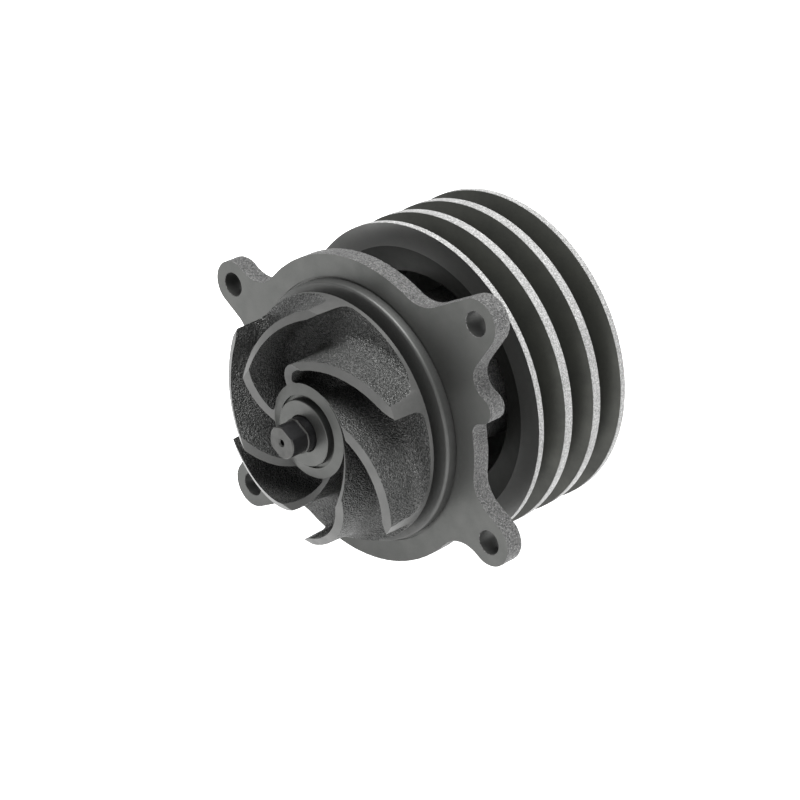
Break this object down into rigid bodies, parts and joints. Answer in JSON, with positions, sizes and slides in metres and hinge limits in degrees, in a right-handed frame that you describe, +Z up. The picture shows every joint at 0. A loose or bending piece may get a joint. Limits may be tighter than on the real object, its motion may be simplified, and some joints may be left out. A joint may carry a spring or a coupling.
{
  "type": "water pump",
  "caption": "Engine water pump: flanged iron housing with four mounting ears, open curved-vane impeller in front, and a V-belt pulley on the same shaft behind.",
  "frame": {"origin": "where the shaft axis meets the flange's mounting face, at the root of the pilot ring", "axes": "+Y along the shaft from the impeller to the pulley, +Z up, +X to the right seen from the impeller side"},
  "size_m": [0.172, 0.1333, 0.143],
  "materials": {
    "housing_iron": "grey iron casting, grainy as cast, with turned faces",
    "impeller_iron": "grey iron casting, coarse as-cast grain, faced on the vane fronts and rim",
    "pulley_iron": "turned grey iron, satin dark grooves and bright granular lands",
    "shaft_steel": "dark ground steel",
    "bearing_steel": "polished bearing steel",
    "cage_steel": "pressed steel",
    "spring_steel": "spring steel",
    "seal_brass": "pressed brass",
    "seal_rubber": "black nitrile rubber",
    "seal_carbon": "lapped carbon graphite",
    "seal_ceramic": "lapped alumina",
    "fastener_steel": "zinc-plated steel"
  },
  "bodies": {
    "housing": {"housing": "housing_iron", "front_bearing_outer_race": "bearing_steel", "front_bearing_shields": "cage_steel", "rear_bearing_outer_race": "bearing_steel", "rear_bearing_shields": "cage_steel", "bearing_circlip": "spring_steel", "seal_case": "seal_brass", "seal_spring": "spring_steel", "seal_bellows": "seal_rubber", "seal_carbon_ring": "seal_carbon"},
    "rotor": {"shaft": "shaft_steel", "impeller": "impeller_iron", "pulley": "pulley_iron", "front_bearing_inner_race": "bearing_steel", "rear_bearing_inner_race": "bearing_steel", "bearing_spacer": "bearing_steel", "seal_seat": "seal_ceramic", "seal_seat_cup": "seal_rubber", "slinger": "spring_steel", "pulley_key": "shaft_steel", "pulley_washer": "fastener_steel", "pulley_nut": "fastener_steel"},
    "front_ball_train": {"front_bearing_balls": "bearing_steel", "front_bearing_cage": "cage_steel"},
    "rear_ball_train": {"rear_bearing_balls": "bearing_steel", "rear_bearing_cage": "cage_steel"}
  },
  "joints": [
    {"name": "shaft_spin", "type": "hinge", "parent": "housing", "child": "rotor", "pos_m": [0, 0, 0], "axis": [0, 1, 0], "continuous": true},
    {"name": "front_train_spin", "type": "hinge", "parent": "housing", "child": "front_ball_train", "pos_m": [0, 0.033, 0], "axis": [0, 1, 0], "continuous": true},
    {"name": "rear_train_spin", "type": "hinge", "parent": "housing", "child": "rear_ball_train", "pos_m": [0, 0.0575, 0], "axis": [0, 1, 0], "continuous": true}
  ],
  "couplings": [
    {"joint": "front_train_spin", "follows": "shaft_spin", "ratio": 0.3815},
    {"joint": "rear_train_spin", "follows": "shaft_spin", "ratio": 0.3678}
  ]
}
